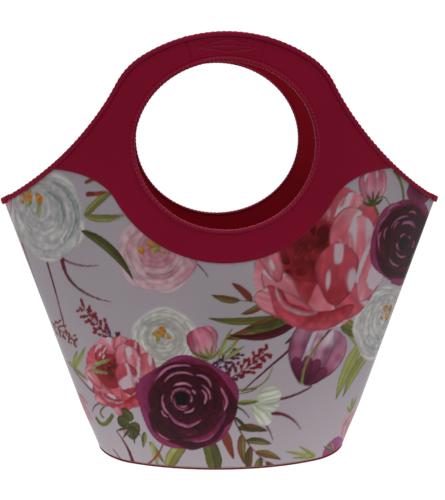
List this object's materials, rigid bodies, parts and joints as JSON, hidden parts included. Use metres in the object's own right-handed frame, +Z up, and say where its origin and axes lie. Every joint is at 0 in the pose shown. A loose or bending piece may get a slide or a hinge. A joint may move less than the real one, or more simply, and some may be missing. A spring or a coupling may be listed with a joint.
{
  "type": "tote bag",
  "caption": "Tapered oval-based tote bag with a pointed mouth, floral printed walls and large round cut-out handles in crimson.",
  "frame": {"origin": "centre of the bag's footprint, on the surface that it stands on", "axes": "+X across the bag, tip to tip, to the viewer's right; +Y from the front wall to the back wall; +Z up"},
  "size_m": [0.3816, 0.1676, 0.366],
  "materials": {
    "printed_skin": "satin coated sheet printed with a watercolour flower pattern",
    "facing": "satin smooth synthetic leather",
    "binding": "satin synthetic leather tape with overcast thread",
    "edging": "satin turned edge with running stitch",
    "lining": "satin synthetic leather",
    "base_cover": "matte grained synthetic leather",
    "greyboard": "matte"
  },
  "bodies": {
    "bag": {"base_cover": "base_cover", "base_board": "greyboard", "base_lining": "lining", "front_print_panel": "printed_skin", "front_board": "greyboard", "front_lining": "lining", "front_yoke_facing": "facing", "front_rim_binding": "binding", "front_hole_edging": "edging", "back_print_panel": "printed_skin", "back_board": "greyboard", "back_lining": "lining", "back_yoke_facing": "facing", "back_rim_binding": "binding", "back_hole_edging": "edging", "left_side_tape": "lining", "right_side_tape": "lining", "left_tip_cap": "binding", "right_tip_cap": "binding"},
    "front_handle": {"front_handle_board": "greyboard", "front_handle_lining": "lining", "front_handle_facing": "facing", "front_handle_binding": "binding", "front_handle_edging": "edging"},
    "back_handle": {"back_handle_board": "greyboard", "back_handle_lining": "lining", "back_handle_facing": "facing", "back_handle_binding": "binding", "back_handle_edging": "edging"}
  },
  "joints": [
    {"name": "front_handle_flex", "type": "hinge", "parent": "bag", "child": "front_handle", "pos_m": [0, -0.0511, 0.2825], "axis": [-1, 0, 0], "range_deg": [0, 30], "stiffness_Nm_per_rad": 0.2},
    {"name": "back_handle_flex", "type": "hinge", "parent": "bag", "child": "back_handle", "pos_m": [0, 0.0511, 0.2825], "axis": [1, 0, 0], "range_deg": [0, 30], "stiffness_Nm_per_rad": 0.2}
  ]
}
